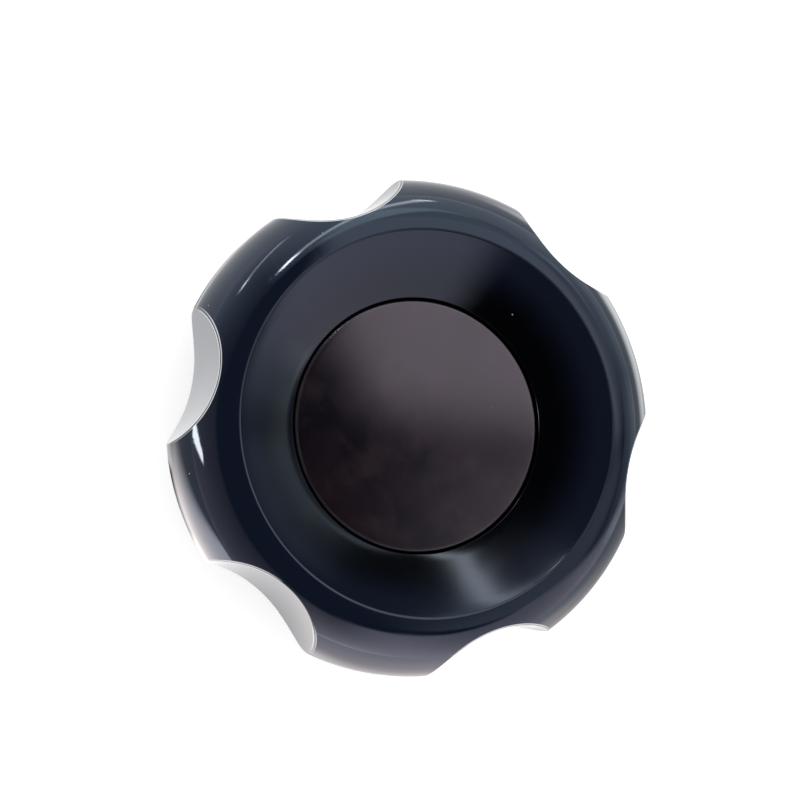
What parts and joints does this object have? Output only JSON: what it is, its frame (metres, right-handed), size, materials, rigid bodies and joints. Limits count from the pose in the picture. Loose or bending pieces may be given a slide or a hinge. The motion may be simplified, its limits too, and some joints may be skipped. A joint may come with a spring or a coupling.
{
  "type": "fluted handwheel",
  "caption": "Small fluted handwheel: a glossy round rim with finger flutes and a dished front, on a bored boss with a set screw, closed by a satin snap-in centre cap.",
  "frame": {"origin": "on the wheel's axis, at the rear face of the boss", "axes": "+Z along the axis, out of the dished front; +X through the middle of a lobe; +Y through the middle of a flute, with the set screw on it"},
  "size_m": [0.08, 0.077, 0.0288],
  "materials": {
    "wheel_body": "polished black moulding",
    "hub_bush": "turned",
    "set_screw": "black oxide",
    "centre_cap": "satin dark grey"
  },
  "bodies": {
    "root": {"wheel_body": "wheel_body", "hub_bush": "hub_bush", "set_screw": "set_screw", "centre_cap": "centre_cap"}
  },
  "joints": []
}
